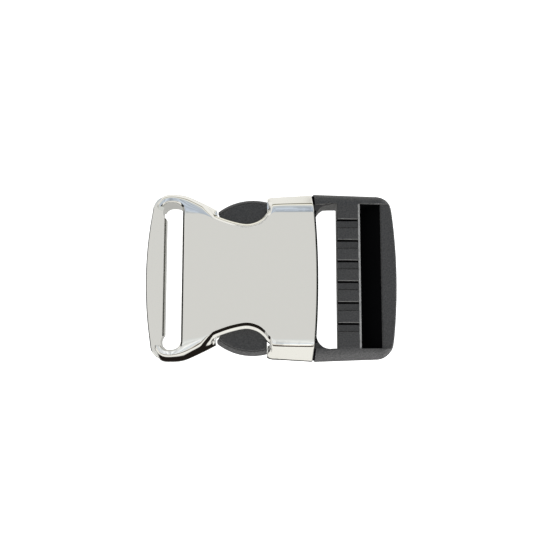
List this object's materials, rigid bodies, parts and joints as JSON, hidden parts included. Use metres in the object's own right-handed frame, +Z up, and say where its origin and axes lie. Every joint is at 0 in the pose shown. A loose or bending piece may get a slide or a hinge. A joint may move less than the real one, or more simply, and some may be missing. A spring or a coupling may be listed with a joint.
{
  "type": "side release buckle",
  "caption": "Fastened side release buckle for flat webbing: a plated cast metal housing with finger scoops and a black plastic prong plug with a ribbed adjuster bar.",
  "frame": {"origin": "centre of the bounding box on the surface the buckle lies on", "axes": "+X from the metal housing's end bar to the plastic plug's end bar, +Y across, +Z up"},
  "size_m": [0.0742, 0.0504, 0.0115],
  "materials": {
    "housing_metal": "bright nickel-like plating on die-cast zinc, polished to a mirror",
    "plug_plastic": "moulded black acetal with a fine matte grain"
  },
  "bodies": {
    "root": {"socket_housing": "housing_metal", "prong_plug": "plug_plastic"}
  },
  "joints": []
}
